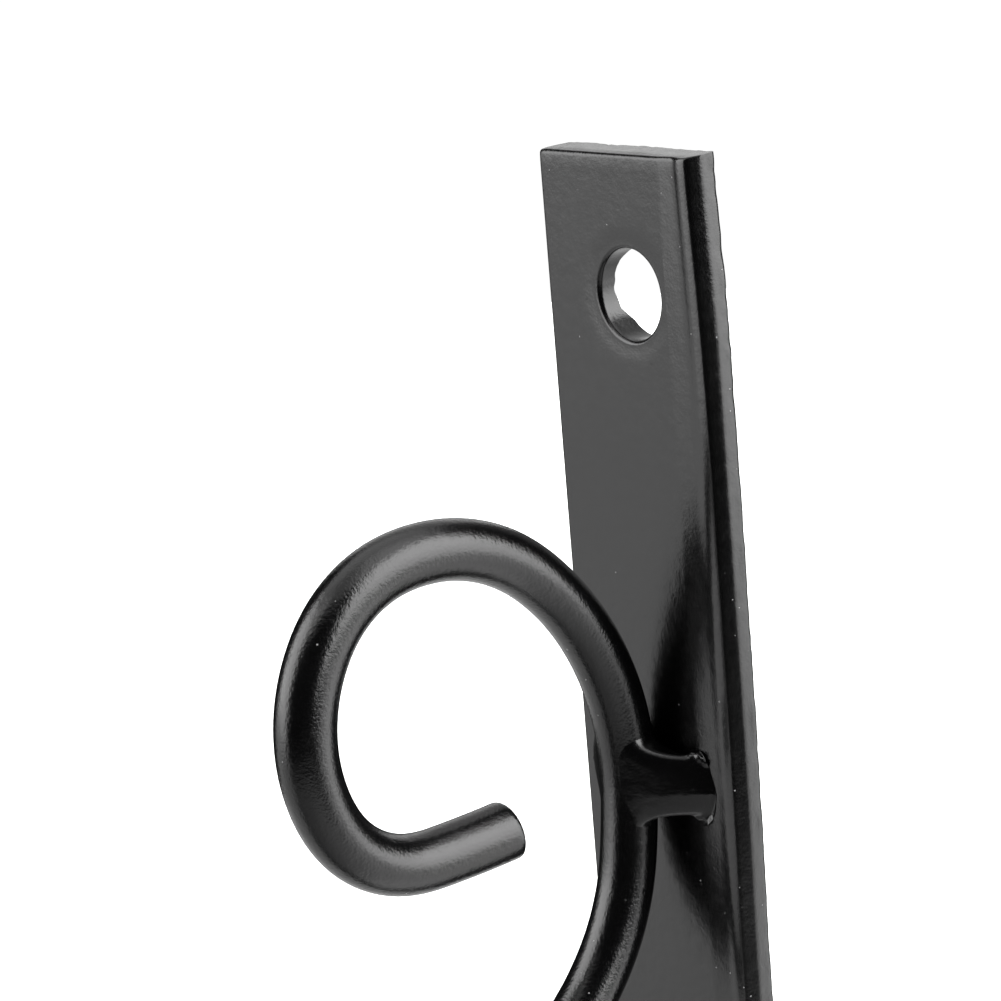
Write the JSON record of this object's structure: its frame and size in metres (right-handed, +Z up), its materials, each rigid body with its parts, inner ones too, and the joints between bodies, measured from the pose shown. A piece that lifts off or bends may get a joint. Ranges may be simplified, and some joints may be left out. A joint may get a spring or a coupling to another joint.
{
  "type": "plant hanger bracket",
  "caption": "Black powder-coated steel wall bracket: a flat bar with screw holes and a welded round rod, curled into a scroll above and a hooked arm below.",
  "frame": {"origin": "on the bar's back face, in the middle of its width and midway between its screw holes", "axes": "+Y into the wall, +Z up along the bar, X across the bar; the scroll and the arm reach towards -Y"},
  "size_m": [0.0204, 0.15, 0.15],
  "materials": {
    "bar_coat": "satin",
    "rod_coat": "satin",
    "weld_coat": "satin"
  },
  "bodies": {
    "root": {"wall_bar": "bar_coat", "scroll_arm": "rod_coat", "weld_right": "weld_coat", "weld_left": "weld_coat"}
  },
  "joints": []
}
